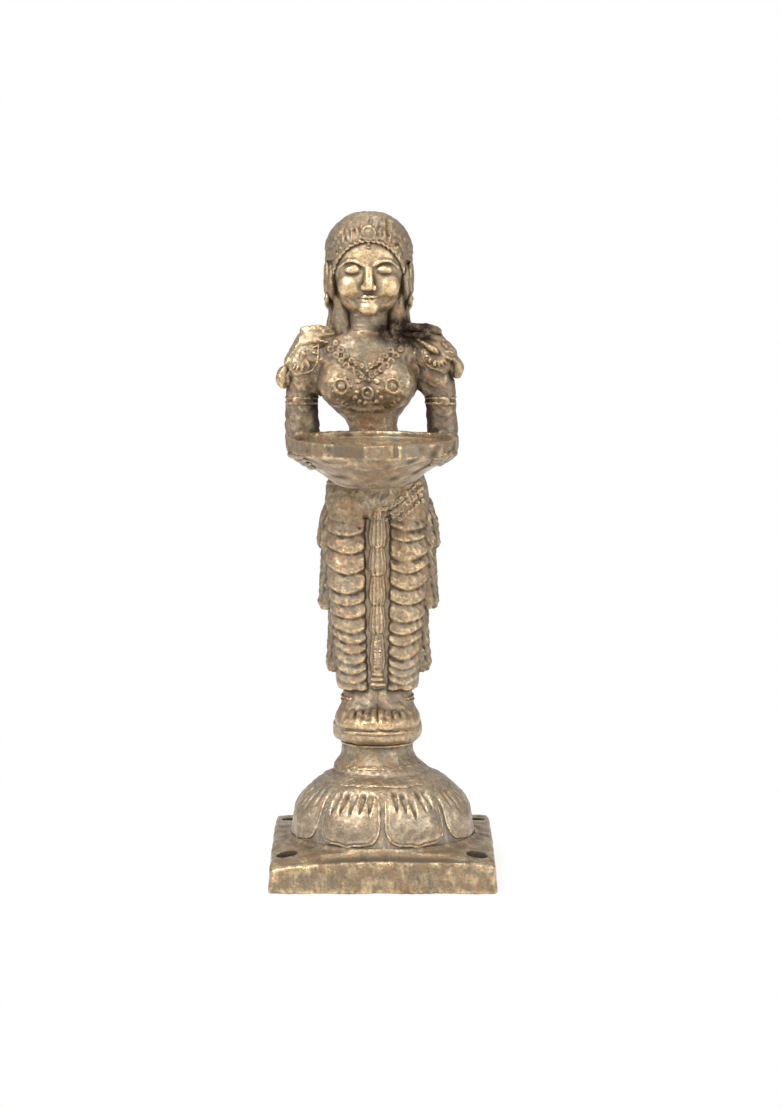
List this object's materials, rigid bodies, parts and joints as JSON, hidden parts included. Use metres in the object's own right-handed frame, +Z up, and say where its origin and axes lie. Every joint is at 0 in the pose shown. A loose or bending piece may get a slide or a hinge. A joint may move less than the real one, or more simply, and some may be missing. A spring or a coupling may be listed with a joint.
{
  "type": "figural oil lamp",
  "caption": "Small cast brass lamp: a standing figure holds an oil bowl with a wick lip, on a foot disc, a lotus dome and a square plate with corner holes.",
  "frame": {"origin": "centre of the plate's underside, midway between the corner holes", "axes": "+Z up, the figure faces -Y, its own left side is +X"},
  "size_m": [0.058, 0.0792, 0.1696],
  "materials": {
    "aged_brass": "aged cast brass, dull brown in the hollows",
    "worn_brass": "cast brass, rubbed bright on the high places",
    "dark_brass": "dark oxidised brass"
  },
  "bodies": {
    "pedestal": {"base_plate": "worn_brass", "lotus_dome": "aged_brass", "lotus_petal_1": "worn_brass", "lotus_petal_2": "worn_brass", "lotus_petal_3": "worn_brass", "lotus_petal_4": "worn_brass", "lotus_petal_5": "worn_brass", "lotus_petal_6": "worn_brass", "lotus_petal_7": "worn_brass", "lotus_petal_8": "worn_brass", "dome_ring": "aged_brass", "socket_collar": "aged_brass"},
    "figure": {"tenon": "dark_brass", "foot_disc": "worn_brass", "right_foot": "worn_brass", "left_foot": "worn_brass", "right_anklet": "worn_brass", "left_anklet": "worn_brass", "right_leg": "aged_brass", "left_leg": "aged_brass", "front_pleat": "worn_brass", "right_sash": "aged_brass", "left_sash": "aged_brass", "hips": "aged_brass", "girdle": "worn_brass", "torso": "worn_brass", "right_rosette": "dark_brass", "left_rosette": "dark_brass", "necklace": "worn_brass", "pendant": "worn_brass", "right_upper_arm": "aged_brass", "left_upper_arm": "aged_brass", "right_forearm": "aged_brass", "left_forearm": "aged_brass", "right_hand": "worn_brass", "left_hand": "worn_brass", "right_armlet": "worn_brass", "left_armlet": "worn_brass", "right_shoulder_ornament": "aged_brass", "left_shoulder_ornament": "aged_brass", "neck": "aged_brass", "head": "worn_brass", "right_ear": "worn_brass", "left_ear": "worn_brass", "right_earring": "worn_brass", "left_earring": "worn_brass", "hair_cap": "aged_brass", "hair_band": "worn_brass", "brow_jewel": "worn_brass", "hair_knot": "aged_brass", "lamp_bowl": "worn_brass"}
  },
  "joints": [
    {"name": "figure_lift", "type": "slide", "parent": "pedestal", "child": "figure", "axis": [0, 0, 1], "range_m": [0, 0.02]}
  ]
}
